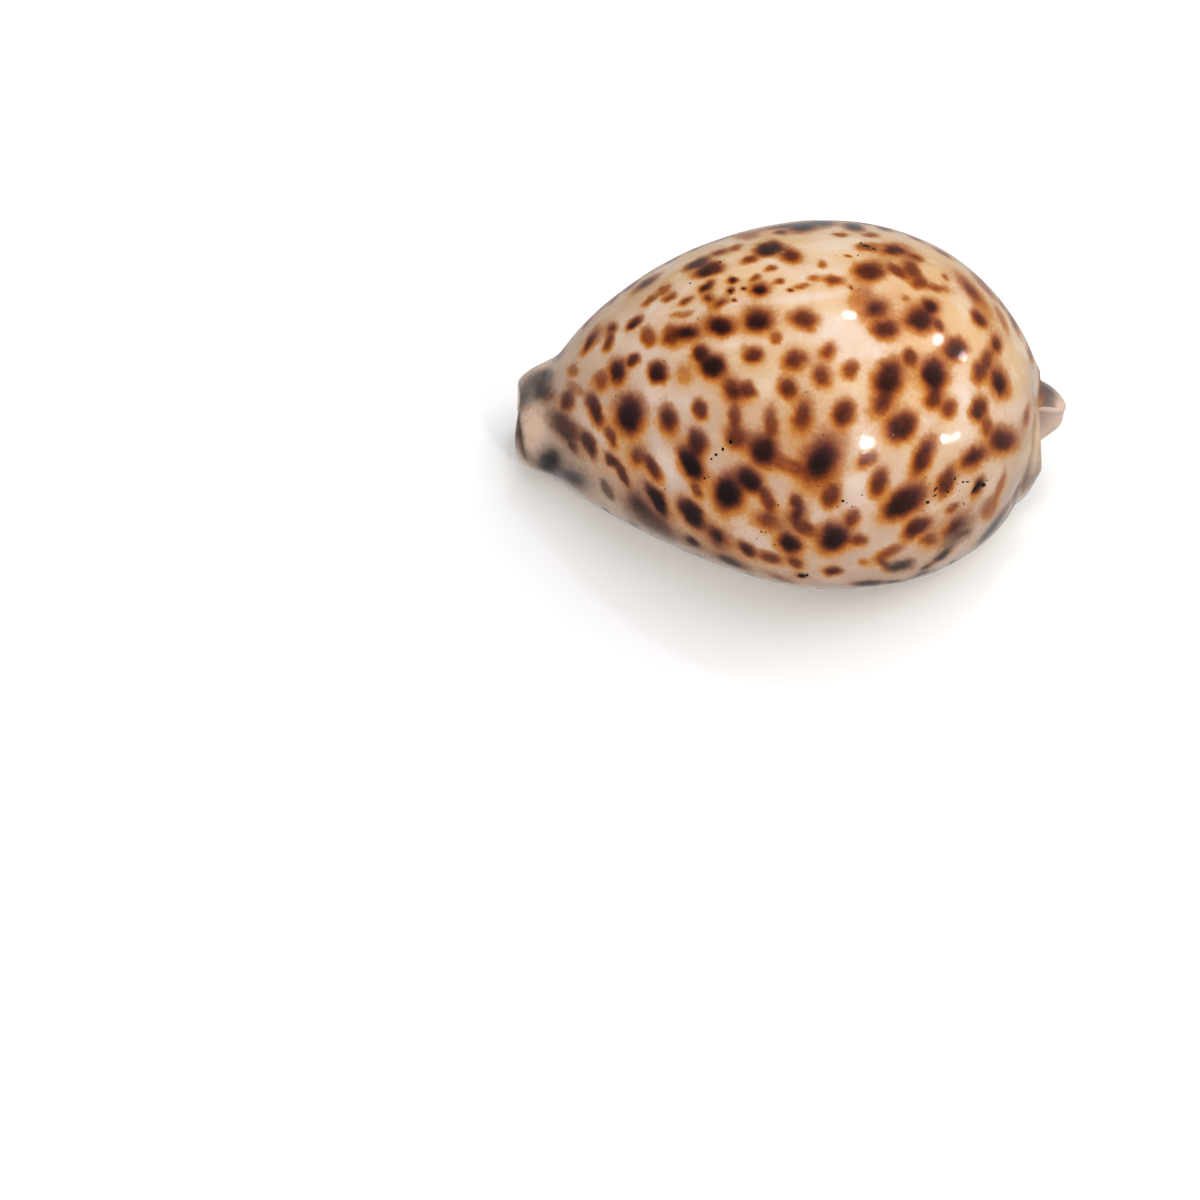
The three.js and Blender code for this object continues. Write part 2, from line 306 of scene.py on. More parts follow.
# a slow unevenness of the glaze, always inwards
U = np.zeros(len(verts))
for _ in range(16):
    k = rs.normal(size=3); k *= 2 * math.pi / (rs.uniform(7, 22) * np.linalg.norm(k))
    U += np.sin(verts @ k + rs.uniform(0, 6.28))
U /= 4.0
verts -= N * (0.05 * (1 + np.clip(U, -1, 1)) * step(np.abs(d_lip), 1, 6))[:, None]
verts[:, 2] = np.maximum(verts[:, 2], 0.0)
verts[:, 2] *= min(1.0, (cad_box[1][2] / MM - 0.01) / verts[:, 2].max())
N = normals(verts)

# ---------------------------------------------------------------- marks
# most of these ellipses were fitted by least squares to a map of how dark the photo is; those along the
# margins and a few small ones were set one by one from enlarged crops
# (x, y, long half size, short half size, tilt in degrees, depth, edge) in pixels of the 1200 frame
SPOTS = [
    (746,235,13.5,4,-5,0.28,4.4),(781.3,232,5.5,2.4,0,0.4,3.5),(803,226.9,12,4.2,-3,0.72,4),(821.3,222.6,10.5,2.8,2,0.8,4),(854.4,226.5,9,3.3,11,0.85,4),(840.5,234.6,6,2.2,0,0.3,3.5),(885,228.7,6,1.4,15,0.45,3.5),(783,226,18,1.6,-9,0.45,3),(871,235,7,2.6,0,0.34,4),(697,263,12.5,4,-25,0.58,4.5),
    (720,252,8,3,-15,0.42,3.7),(736,247,6.5,3,-20,0.3,4.8),(750,260,7.5,4,-15,0.47,4.5),(769,249,14.5,6.5,-10,0.7,5.9),(770,269,5.5,3,-15,0.38,4.4),(792,256,10,7,10,0.6,4.1),(822,264,5.5,3.5,0,0.3,3.8),
    (867,247,9.5,4,0,0.41,4.7),(894,250,11.5,5.5,5,0.65,3.4),(912,269,10,7.5,50,0.51,4.8),(915,257,7.5,3,20,0.42,3.5),(646,283,13,3.5,-35,0.55,3.3),(665,289,7,4,-30,0.33,4.2),(670,297,7.5,4,-30,0.42,4.4),
    (707,287,8,4,-30,0.65,4.6),(709,270,14,6,-15,0.7,4.9),(709,298,5.5,4.5,-25,0.54,2.9),(733,281,5,3.2,-10,0.62,4),(730.5,290.5,3.2,2.6,0,0.55,4),(743,289.7,2.6,2,0,0.45,3.5),(790,291,3.5,1.6,-5,0.4,4),(733,300,3.2,1.7,-10,0.35,4),(847,256,3.2,1.6,0,0.3,3.5),(851,286,2.2,1.3,0,0.3,3),(755,278,5.5,3,-20,0.38,4.2),(760,289,8.5,5.5,-15,0.78,3.4),(779,281,5,3,-15,0.4,4.6),
    (802,287,7,3,-10,0.38,3.2),(815,278,5.5,3.5,5,0.29,3.5),(834,281,9,4.5,5,0.5,3.8),(860,295,13.5,9,-35,0.23,5.2),(869,271,15.5,9.5,0,0.66,5.2),(897,270,11.5,4.5,35,0.47,4.9),(906,299,4.5,3,15,0.25,5.1),
    (920,283,8,6,10,0.42,5.5),(937,287,11,3.5,15,0.39,3.1),(945,277,4.5,3,50,0.29,5),(972,291,19.5,4.5,50,0.51,2.4),(612,328,5.5,4,-35,0.54,3.2),(634,323,9,4,-45,0.66,4.4),(650,300,10,3.5,-40,0.39,4.4),
    (682,314,11,3.5,-15,0.24,5.2),(686,301,6.5,3,-30,0.44,3.9),(720,302,7.5,3.5,-45,0.49,2.7),(721,326,14,9,10,0.78,4.6),(758,320,14.5,11,5,0.78,4.6),(804,319,13,9,10,0.63,3.8),(875,309,12,8.5,-5,0.69,2.8),
    (886,329,13,9,-5,0.66,4.5),(920,320,14,10.5,20,0.73,4.6),(930,306,9.5,7,15,0.69,4.7),(939,326,6.5,4.5,60,0.45,3.9),(979,319,9.5,6,55,0.61,4.5),(1002,319,14.5,3,65,0.22,5.2),(560,354,8.5,2.5,-55,0.34,4.9),
    (591,341,12,4,-60,0.64,2.9),(608,342,8.5,4.5,-75,0.53,4.4),(648,336,10,7,-85,0.48,4.6),(672,336,10,9,-60,0.55,4.4),(688,333,11,7.5,-10,0.77,3.7),(701,353,8.5,8,0,0.67,5.1),(753,356,10,8,15,0.65,4.6),
    (776,338,6.5,5.5,-25,0.4,4.8),(829,351,8.5,6.5,-35,0.51,3.6),(910,357,8.5,7.5,75,0.56,5.4),(955,348,11.5,11,45,0.7,4.9),(987,358,9.5,5.5,-85,0.48,5.3),(996,344,8.5,5.5,85,0.58,4.3),(542,389,12,8.5,50,0.61,3.8),
    (548,375,6.5,4,-65,0.56,4.1),(573,370,6,5.5,-65,0.29,4.6),(576,388,10,6,40,0.2,6.8),(600,381,10,8,80,0.44,4.5),(618,371,11,8.5,-85,0.75,4.2),(634,360,6.5,5.5,-35,0.61,5.2),(658,373,10.5,9.5,65,0.76,5.5),
    (685,374,10.5,8.5,-90,0.27,3.4),(713,367,12.5,11,20,0.8,5),(788,388,10.5,9.5,70,0.63,4.4),(794,360,11.5,9,-15,0.61,4.4),(822,376,10.5,9,60,0.56,3.9),(851,370,10,8,-55,0.49,5),(889,378,18,14,-75,0.74,5.2),
    (933,374,16,13.5,-75,0.79,4.9),(980,372,10,6.5,-85,0.6,3.7),(999,382,13.5,7.5,75,0.74,3.7),(1043,387,18.5,6.5,55,0.46,3),(522,397,13,7,-65,0.38,2.5),(567,401,10,7,-80,0.59,4.7),(595,410,16.5,7,70,0.66,5.6),
    (630,415,19,14.5,90,0.81,5.1),(668,419,13.5,7.5,80,0.67,3.5),(701,409,10,7,65,0.6,5.1),(733,390,12.5,8.5,60,0.65,3.7),(735,416,12,6.5,80,0.47,4.7),(748,390,9,7.5,80,0.55,5.1),(802,416,16,9.5,-75,0.61,3.9),
    (844,413,13,10.5,-70,0.65,5.4),(882,403,12.5,8.5,-65,0.59,3.3),(934,398,11,8.5,-75,0.59,4.8),(949,409,10.5,7,-65,0.53,4.6),(979,409,12,8,-80,0.66,5.1),(1027,416,9,3,-80,0.39,2.2),(518,434,9,4.5,75,0.39,2.2),
    (565,427,18,9.5,45,0.6,4.9),(572,445,9.5,3.5,55,0.44,2.6),(589,444,14.5,6,65,0.61,6.2),(611,437,11,4.5,70,0.47,5.6),(698,442,13.5,9,75,0.68,4.9),(736,437,12.5,10.5,65,0.59,4.5),(771,422,16,7.5,-90,0.49,4.6),
    (901,426,16.5,13,-45,0.72,5.2),(987,426,8.5,5.5,-85,0.39,5.4),(1003,440,13,12,5,0.68,4.4),(524,453,13.5,5,55,0.15,3.7),(550,462,12.5,10.5,-70,0.77,4.1),(573,478,26,8,5,0.67,2.2),(611,460,9,4.5,65,0.55,5),
    (622,474,14,4.5,60,0.54,5.8),(637,456,10,8,85,0.53,3.1),(653,468,14,5.5,60,0.59,4.8),(691,463,18.5,10.5,60,0.86,5.3),(763,450,16.5,13,60,0.8,4.7),(789,466,15.5,7.5,25,0.35,6.8),(821,460,23.5,16,-60,0.84,3.6),
    (867,459,11.5,7,-40,0.5,5.8),(924,456,20,9,-65,0.68,4.7),(974,457,13.5,8,-40,0.72,3.3),(608,490,11,5,60,0.34,7.7),(639,505,14.5,8.5,50,0.62,2.2),(657,499,18.5,6.5,55,0.8,6),(697,491,9,5,60,0.46,5.5),
    (728,493,17,14,80,0.87,4.9),(750,480,15.5,10.5,45,0.79,5.7),(768,499,13.5,6.5,70,0.52,5.8),(796,502,8,6.5,25,0.53,6),(831,496,12,8.5,-75,0.56,5.7),(879,482,14,8.5,-70,0.63,4.6),(904,502,23.5,12.5,-35,0.78,5.6),
    (946,481,15.5,7,-65,0.61,4.9),(953,508,8,3.5,-35,0.32,5.8),(978,487,10,5,-65,0.62,4.6),(990,508,12.5,7,-65,0.28,5.9),(1001,485,15,4,-70,0.25,5.3),(658,523,21.5,8,40,0.45,4.2),(691,513,17.5,9,50,0.79,5.7),
    (717,536,12,6.5,40,0.74,2.6),(768,521,13,8.5,15,0.53,3.2),(797,513,7.5,5.5,-20,0.56,3.6),(803,526,14.5,6.5,35,0.56,4.4),(834,538,15.5,13,-15,0.8,4.8),(851,518,9,7,-40,0.5,4.7),(917,527,15,8,-35,0.66,5.5),
    (955,526,13,7,-45,0.66,2.2),(1002,515,16,3,-55,0.36,3.6),(693,542,9.5,4,35,0.6,3.7),(731,562,15,4,25,0.61,3.3),(747,550,10,5.5,35,0.64,4.4),(770,558,11.5,5.5,20,0.51,5),
    (790,543,12,9,35,0.8,4.6),(795,562,8.5,5,25,0.52,4),(859,540,9.5,6,-15,0.46,4.6),(864,563,5.5,4,-10,0.24,5.1),(889,552,15,5.5,-25,0.44,3.9),(901,566,12.5,5.2,-14,0.56,4),(885,563,7,4,20,0.4,3.5),(928.6,539.5,7.5,5.5,-30,0.4,3.5),(948,546,9,6,-40,0.14,3),
    (941.5,556,8,2.8,-40,0.5,4),(782,579,12,3,20,0.3,2.5),(801,576,6,2.5,10,0.39,2.4),(833,570.5,8.5,4,3,0.6,4),(868,584,13,2.8,-3,0.7,4),(921,574.3,8,1.4,-20,0.5,3),(893,581.7,8,1.3,-6,0.5,3),(927,567,6.5,2.2,-30,0.4,3.5),(990,531.5,13,2.8,-48,0.62,4),(961.5,534.5,9,4,-32,0.32,3.5),
]
# pinholes and chips: (x, y, half length, half width, tilt)
PITS = [
    (730.5, 441.8, 2.3, 1.8, 40), (722.7, 449.2, 1.8, 1.4, 90), (716, 454.7, 1.7, 1.4, 0), (711.2, 459, 1.2, 1.2, 0),
    (704.7, 478.3, 1.4, 1.2, 0), (708.5, 477, 0.8, 0.8, 0), (761.3, 531.8, 1.1, 1.0, 0), (765.8, 532.2, 0.8, 0.7, 0),
    (757, 538.8, 0.7, 0.7, 0), (775.2, 545, 0.9, 0.8, 0), (778.3, 505, 0.9, 0.9, 0), (843, 501, 1.7, 1.4, 0), (847, 503, 0.8, 0.7, 0),
    (852, 507, 1.0, 0.8, 0), (862, 495, 0.9, 0.8, 0), (838, 507, 0.9, 0.8, 0), (818, 486, 0.9, 0.8, 0), (770, 470, 0.9, 0.8, 0),
    (927.8, 502.5, 1.9, 1.6, -20), (925.4, 477.8, 0.8, 0.7, 0), (929.4, 484.1, 0.8, 0.7, 0), (935.6, 489.4, 3.4, 1.0, -56),
    (935, 495.6, 2.2, 0.8, -30), (947.5, 491.9, 2.2, 0.8, 45), (955, 478.8, 1.8, 0.9, -60), (963.1, 482.1, 1.3, 1.2, 0),
    (967.5, 481.9, 1.7, 0.9, 0), (957.9, 483.8, 0.8, 0.7, 0), (959.4, 490.9, 0.8, 0.6, 0), (952.5, 489, 0.7, 0.6, 0),
    (945.6, 496.3, 0.8, 0.7, 0), (976.5, 487.1, 8.2, 1.5, -53), (983.1, 485, 2.9, 2.3, 0), (987.1, 480.3, 0.9, 0.8, 0),
    (964, 504, 0.8, 0.8, 0), (924.4, 510.3, 0.7, 0.7, 0), (802, 576, 4.6, 1.8, 5), (807, 575, 1.6, 1.2, 0), (866, 245.5, 4.6, 0.9, 12), (874, 249, 3.0, 0.8, 30), (861, 243, 1.6, 0.8, 40), (720, 262, 1.3, 0.9, 0),
    (690, 283, 1.0, 0.8, 0), (858, 255, 0.9, 0.7, 0), (934, 352, 0.8, 0.8, 0), (806, 392, 0.9, 0.8, 0), (664, 361, 0.8, 0.7, 0),
]

out = np.arange(outer_count)
PX = to_px(verts)
to_cam = CAM - verts
to_cam /= np.linalg.norm(to_cam, axis=1, keepdims=True)
facing = (N * to_cam).sum(1)
facing[outer_count:] = -1
tree = BVHTree.FromPolygons([Vector(v) for v in verts], faces)


def hit(x, y):
    loc, nor, idx, dist = tree.ray_cast(Vector(CAM), Vector(ray(x, y)))
    return None if loc is None else (np.array(loc), idx)


def tangent_frame(nv):
    t = np.cross([0, 0, 1.0], nv)
    if np.linalg.norm(t) < 1e-3:
        t = np.array([1.0, 0, 0])
    t /= np.linalg.norm(t)
    return t, np.cross(nv, t)


def face_normal(idx):
    nv = N[faces[idx]].mean(0)
    return nv / np.linalg.norm(nv)


clear = np.ones(len(verts))
halo_clear = np.ones(len(verts))
centres = []


def waves(P, seed, short, long, count=14):
    """Seeded smooth noise, about -1 to 1."""
    r = np.random.RandomState(seed)
    w = 0
    for _ in range(count):
        k = r.normal(size=3)
        k *= 2 * math.pi / (r.uniform(short, long) * np.linalg.norm(k))
        w = w + np.sin(P @ k + r.uniform(0, 6.28))
    return w / math.sqrt(count / 2) * 0.7


# uneven outlines: the marks are looked up at slightly shifted places
warp = np.stack([0.085 * waves(verts, 40 + i, 1.3, 2.6) + 0.12 * waves(verts, 50 + i, 3.0, 6.0) for i in range(3)], -1)
bent = verts + warp
PXW = to_px(bent)


lilac_tint_and_sheen_sum, lilac_tint_and_sheen_w = np.full(len(verts), 1e-6), np.full(len(verts), 2e-6)


def stamp(rho2, sel, depth, edge, into=None, up=None, left=None):
    """Darkens by one mark; up is -1 ... 1 across it: a painted lilac sheen on its upper side, where the light comes
    from, and a little painted shade on its lower side.
    """
    into = clear if into is None else into
    if up is not None:
        w = depth / (1 + np.maximum(rho2, 1e-9)**1.6)
        lilac_tint_and_sheen_sum[sel] += w * np.clip(0.5 + 0.6 * up, 0, 1)
        lilac_tint_and_sheen_w[sel] += w
    rho2 = np.maximum(rho2, 1e-9)
    tilt = 0 if up is None else np.clip(up, -1, 1)
    into[sel] *= 1 - np.clip(depth * (1 - 0.10 * tilt) / (1 + rho2**(edge / 2)), 0, 0.98)
    if into is clear:
        halo_clear[sel] *= 1 - np.clip((0.62 + 0.24 * (-tilt if left is None else np.clip(left, -1, 1))) * depth**0.5 / (1 + (rho2 / 1.8)**1.8), 0, 0.98)


def px_matrix(a, b, tilt):
    c, s = math.cos(math.radians(tilt)), math.sin(math.radians(tilt))
    return np.array([[c / a, s / a], [-s / b, c / b]])


def mark(x, y, a, b, tilt, depth, edge, into=None):
    got = hit(x, y)
    if got is None:
        return
    c, idx = got
    nv = face_normal(idx)
    f = nv @ ((CAM - c) / np.linalg.norm(CAM - c))
    if into is None:
        centres.append((c, 0.5 * (a + b) / 6.9 / max(f, 0.35)**0.5))
    A = px_matrix(a, b, tilt)
    near = np.where((np.linalg.norm(verts - c, axis=1) < 16) & (N @ nv > 0.25) & (np.arange(len(verts)) < outer_count))[0]
    if f > 0.42:
        near = near[facing[near] > 0.02]
        q = (PXW[near] - np.array([x, y])) @ A.T
        # up runs towards the upper right of the picture, the side the light comes from
        up = (y - PXW[near][:, 1] + 0.45 * (PXW[near][:, 0] - x)) / (0.55 * (a + b))
        left = (x - PXW[near][:, 0] + min(max((y - 400) / 60, -0.8), 0.8) * (PXW[near][:, 1] - y)) / (0.6 * (a + b))
    else:
        t, u = tangent_frame(nv)
        J = np.stack([to_px((c + 0.2 * t)[None])[0] - to_px(c[None])[0], to_px((c + 0.2 * u)[None])[0] - to_px(c[None])[0]], 1) / 0.2
        M = A @ J
        uu, ss, vt = np.linalg.svd(M)
        ss = np.maximum(ss, 1 / (3.0 if into is None else 4.5))     # limits the half size, mm
        M = uu @ np.diag(ss) @ vt
        d = bent[near] - c
        q = np.stack([d @ t, d @ u], -1) @ M.T
        up, left = d[:, 2] / 1.5, None
    stamp((q**2).sum(1), near, depth, edge, into, None if into is not None else up, left)


for x, y, a, b, tilt, depth, edge in SPOTS:
    # small marks are a little sharper and darker than they measure in the picture
    sharp = math.sqrt((1 + 5.0 / a**2) * (1 + 5.0 / b**2))
    a, b = (1.02 * math.sqrt(max(h * h - 3.0, 0.6 * h * h)) for h in (a, b))
    mark(x, y, a, b, tilt, min(0.94, depth * 1.05 * sharp), edge)

# the sides that the photo hides: spots of the same sizes and depths, grey and small along the margins
rs = np.random.RandomState(5)
hid = np.where((np.arange(len(verts)) < outer_count) & (facing < 0.16) & (verts[:, 2] > 5.5) & (N[:, 2] > -0.62) & (np.abs(verts[:, 0]) < 33.5))[0]
order = rs.permutation(hid)
pts = [c for c, _ in centres]
rad = [r for _, r in centres]
added = 0
C = np.array(pts); Rr = np.array(rad)
for k in order[:9000]:
    p = verts[k]
    low = 1 - step(p[2], 8, 20)
    r = (0.75 + 1.45 * rs.rand()**0.8) * (1 - 0.35 * low)
    gap = np.linalg.norm(C - p, axis=1) - Rr - r
    if gap.min() < 0.55 + 0.9 * rs.rand():
        continue
    C = np.vstack([C, p]); Rr = np.append(Rr, r)
    t, u = tangent_frame(N[k])
    ang = rs.uniform(-0.5, 0.5) + (math.pi / 2 if low > 0.4 else 0)
    asp = rs.uniform(1.0, 1.5) + 0.4 * low
    ca, sa = math.cos(ang), math.sin(ang)
    near = np.where((np.linalg.norm(verts - p, axis=1) < 9) & (N @ N[k] > 0.25) & (np.arange(len(verts)) < outer_count))[0]
    d = bent[near] - p
    q1, q2 = (d @ t) * ca + (d @ u) * sa, -(d @ t) * sa + (d @ u) * ca
    depth = rs.choice([0.45, 0.6, 0.7, 0.8], p=[0.2, 0.3, 0.3, 0.2]) * (1 - 0.25 * low)
    stamp((q1 / (r * asp**0.5))**2 + (q2 / (r / asp**0.5))**2, near, depth, rs.uniform(3.6, 5.6), None, (d @ u) / r)
    added += 1
print("spots", len(centres), "hidden spots", added)
ink = 1 - clear
lilac_tint_and_sheen = lilac_tint_and_sheen_sum / lilac_tint_and_sheen_w
# the base and the lips carry no spots
z, nz = verts[:, 2], N[:, 2]
base = step(-nz, 0.45, 0.85) * (1 - step(z, 7, 12))
base = np.maximum(base, 1 - step(d_lip, 3.0, 9.0))
inside = (np.arange(len(verts)) >= outer_count).astype(float)
ink = ink * (1 - base) * (1 - inside)
halo = (1 - halo_clear) * (1 - base) * (1 - inside)

# soft patches: grey caps of the two ends, pale lilac glaze (round the front lamp's highlight a painted haze of
# reflection), orange blush (x, y, half sizes, tilt, depth, edge)
CAPS = [
    (534, 386, 17, 11, -38, 0.80, 5.0), (520, 401, 7, 5, -60, 0.6, 4.0), (545, 467, 13, 7, 25, 0.8, 5.0), (566, 476, 24, 6, 14, 0.8, 4.0),
    (1046, 386, 17, 5, 50, 0.7, 4.0), (1038, 462, 13, 5, -80, 0.5, 4.0), (1033, 480, 12, 5, -65, 0.5, 4.0),
]
VEIL = [
    (657, 396, 24, 15, 70, 0.75, 3.0), (667, 462, 22, 11, 60, 0.7, 3.0), (712, 482, 20, 11, 50, 0.65, 3.0), (640, 350, 30, 13, -30, 0.5, 3.0),
    # the patch at 858, 420 lies round the front lamp's highlight: a painted haze of that reflection
    (867, 500, 30, 20, -20, 0.7, 3.0), (858, 420, 24, 28, 0, 0.55, 3.0), (872, 341, 16, 20, 20, 0.7, 3.0), (1000, 300, 26, 12, 55, 0.7, 3.0),
    (966, 400, 14, 24, 10, 0.75, 3.0), (800, 512, 34, 15, 20, 0.6, 3.0), (760, 540, 40, 14, 25, 0.6, 3.0), (835, 330, 26, 13, 0, 0.75, 3.0),
    (838, 352, 18, 12, 0, 0.5, 3.0), (700, 330, 16, 12, -20, 0.4, 3.0), (930, 420, 10, 18, 20, 0.6, 3.0), (1010, 410, 12, 22, 80, 0.5, 3.0),
    (905, 540, 30, 10, -25, 0.55, 3.0), (960, 545, 40, 10, -40, 0.6, 3.0), (600, 430, 40, 10, 40, 0.45, 3.0), (740, 515, 22, 12, 35, 0.5, 3.0),
    (705, 309, 62, 3.5, -13, 0.6, 3.0), (800, 298, 50, 3.5, -7, 0.7, 3.0), (740, 344, 70, 4.5, -6, 0.45, 3.0), (618, 332, 46, 5, -36, 0.5, 3.0),
    (668, 300, 50, 4, -30, 0.5, 3.0), (790, 264, 46, 4.5, 2, 0.5, 3.0), (850, 240, 50, 5, 3, 0.4, 3.0), (820, 274, 40, 7, 0, 0.45, 3.0), (860, 480, 20, 10, 0, 0.5, 3.0), (690, 400, 14, 10, 60, 0.35, 3.0), (985, 460, 14, 18, -70, 0.5, 3.0),
]
BLUSH = [(528, 433, 6, 5, 0, 0.5, 3.0), (1050, 411, 9, 7, 60, 0.5, 3.0), (720, 395, 22, 26, 0, 0.45, 3.0), (800, 440, 26, 22, 30, 0.5, 3.0),
         (790, 340, 24, 18, 0, 0.35, 3.0), (930, 300, 40, 16, 40, 0.4, 3.0), (880, 300, 36, 12, 0, 0.45, 3.0),
         (780, 485, 22, 12, 30, 0.35, 3.0), (900, 360, 40, 26, 10, 0.35, 3.0)]
end_grey_c, veil_c, blush_c = (np.ones(len(verts)) for _ in range(3))
for group, into in ((CAPS, end_grey_c), (VEIL, veil_c), (BLUSH, blush_c)):
    for s in group:
        mark(*s, into)
out_only = 1 - inside
end_grey, veil, blush = (1 - end_grey_c) * out_only, (1 - veil_c) * out_only, (1 - blush_c) * out_only
# where the photo shows nothing the glaze is patchy in the same way
unseen = 1 - step(facing, 0.1, 0.4)
veil = np.maximum(veil, unseen * out_only * (1 - base) * step(waves(verts, 71, 8, 20), -0.2, 0.9) * 0.7)
blush = np.maximum(blush, unseen * out_only * (1 - base) * step(waves(verts, 72, 8, 20), 0.0, 1.0) * 0.45)


def line_px(points):
    """Distance in pixels of every vertex to a line drawn in the picture."""
    d = np.full(len(verts), 1e9)
    for (x0, y0), (x1, y1) in zip(points[:-1], points[1:]):
        e = np.array([x1 - x0, y1 - y0], float)
        t = np.clip(((PX - [x0, y0]) @ e) / (e @ e), 0, 1)
        d = np.minimum(d, np.hypot(PX[:, 0] - x0 - t * e[0], PX[:, 1] - y0 - t * e[1]))
    return d


# a groove pressed into the mesh down the rear flank and a line along the front rim, both painted dark brown: painted
# shade in them
crease = line_px([(1030, 350), (1034, 372), (1035, 395), (1036, 422), (1034, 449), (1027, 476), (1020, 499)])
crease = np.where(x_v > 28, np.exp(-(crease / 2.2)**2), 0) * step(facing, 0.05, 0.4)
rim_line = line_px([(517, 409), (518, 422), (520, 436), (522, 448), (525, 459)])
rim_line = np.where(x_v < -33, np.exp(-(rim_line / 1.7)**2), 0) * step(facing, 0.0, 0.3)
crease_shade = np.clip(0.45 * crease + 0.8 * rim_line, 0, 1)

# grey or pink instead of warm brown: towards the margins, the canals and the rear lobes; the grey of the low margin
# spots is partly their own colour, partly a painted reflection of the floor
cool = np.maximum(1 - step(z + 0.16 * x_v, 5, 19), 1 - step(z, 6, 15))
# these patches along the top and bottom outline, fading where the surface turns away from the camera, are a painted
# reflection of the floor in the spots there
for x, y, a, b, tilt, much in ((812, 224, 27, 6, -5, 0.7), (854, 226, 12, 5, 12, 0.65), (770, 249, 14, 7, 0, 0.45), (697, 263, 12, 7, -25, 0.5),
                               (645, 284, 14, 6, -40, 0.5), (900, 566, 15, 8, -12, 0.95), (942, 556, 13, 6, -40, 0.9), (956, 540, 20, 9, -38, 0.8),
                               (990, 531, 20, 6, -50, 0.95), (868, 585, 18, 5, -3, 0.95), (905, 581, 22, 4, -12, 0.6), (925, 568, 12, 5, -28, 0.7)):
    q = (PX - np.array([x, y])) @ px_matrix(a, b, tilt).T
    cool = np.maximum(cool, much / (1 + (q**2).sum(1)**2) * step(facing, -0.12, 0.22 if y < 300 else 0.06))
cool = np.maximum(cool, 1 - step(x_v, -36.5, -31.5))
cool = np.maximum(cool, step(x_v, 35.0, 37.5))
# warm is high where the surface faces up: the cream there and the grey-pink of the downward sides are partly the
# shell's own colours, partly painted shade on the lower sides
warm = 0.05 + 0.95 * step(nz + 0.25 * N[:, 0] + 0.3 * N[:, 1] + 0.004 * x_v, -0.05, 1.0) * (1 - 0.55 * step(x_v, 29, 37))
pale = np.maximum(0.7 * (1 - step(x_v, -37.0, -33.5)), step(x_v, 35.8, 37.6))

# pits: each vertex holds the place of a pit in that pit's own measure, so that they stay sharp between
# the vertices; pits that lie close together go into different sets
SETS = 4
pit = np.tile([9.0, 9.0, 9.0], (SETS, len(verts), 1))
best = np.full((SETS, len(verts)), 1e9)
taken = [[] for _ in range(SETS)]
for (x, y, a, b, tilt) in PITS:
    if hit(x, y) is None:
        continue
    room = [min([math.hypot(x - u, y - w) - 3 * max(a, c) for u, w, c in t] or [99]) for t in taken]
    k = int(np.argmax(room))
    taken[k].append((x, y, a))
    near = np.where((np.hypot(PX[:, 0] - x, PX[:, 1] - y) < 34) & (facing > 0.05))[0]
    q = (PX[near] - np.array([x, y])) @ px_matrix(a, b, tilt).T
    r = np.hypot(q[:, 0], q[:, 1])
    better = r < best[k][near]
    j = near[better]
    best[k][j] = r[better]
    pit[k][j] = np.stack([q[better, 0], q[better, 1], np.maximum(0, r[better] - 2.5)], -1)
deepest = best.min(0)

verts -= N * (0.34 * crease + 0.15 * rim_line + 0.08 * np.clip(1.4 - deepest, 0, 1))[:, None]
verts[:, 2] = np.maximum(verts[:, 2], 0.0)

# ---------------------------------------------------------------- mesh
me = bpy.data.meshes.new("shell")
me.from_pydata((verts * MM).tolist(), [], faces)
me.validate()
me.update()
shell = bpy.data.objects.new("shell", me)
bpy.context.collection.objects.link(shell)
me.polygons.foreach_set("use_smooth", [True] * len(me.polygons))


def attribute(name, data, kind="FLOAT"):
    a = me.attributes.new(name, kind, "POINT")
    a.data.foreach_set("value" if kind == "FLOAT" else "vector", np.asarray(data, np.float32).ravel())


attribute("ink", ink)
attribute("cool", cool)
attribute("warm", warm)
attribute("pale", pale)
attribute("base", base)
attribute("inside", inside)
attribute("halo", halo)
attribute("deep", step(d_rim, 3.0, 14.0) * inside)
attribute("end_grey", end_grey)
attribute("veil", veil)
attribute("blush", blush)
attribute("crease_shade", crease_shade)
for k in range(SETS):
    attribute("pit%d" % k, pit[k], "FLOAT_VECTOR")
attribute("lilac_tint_and_sheen", lilac_tint_and_sheen)
uv = me.uv_layers.new(name="UVMap")
flat = np.zeros((len(verts), 2))
flat[:outer_count, 0] = np.repeat(S, m)
flat[:outer_count, 1] = 0.8 * np.tile(V, n)
flat[outer_count:, 0] = np.repeat(S[1:-1], mi - 2)
flat[outer_count:, 1] = 1 - 0.2 * np.tile(V_in[1:-1], n - 2)
loops = np.empty(len(me.loops), np.int32)
me.loops.foreach_get("vertex_index", loops)
uv.data.foreach_set("uv", flat[loops].astype(np.float32).ravel())

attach(shell, "root")
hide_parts("cowrie_shell")


# ---------------------------------------------------------------- material
def lin(r, g, b):
    f = lambda c: c / 255 / 12.92 if c <= 10.31 else ((c / 255 + 0.055) / 1.055)**2.4
    return (f(r), f(g), f(b), 1.0)


mat = bpy.data.materials.new("cowrie glaze")
mat.use_nodes = True
nt = mat.node_tree
nt.nodes.clear()
L = nt.links.new


def node(kind, **kw):
    o = nt.nodes.new(kind)
    for k, v in kw.items():
        setattr(o, k, v)
    return o


def attr(name, out_name="Fac"):
    o = node("ShaderNodeAttribute", attribute_name=name, attribute_type="GEOMETRY")
    return o.outputs[out_name]


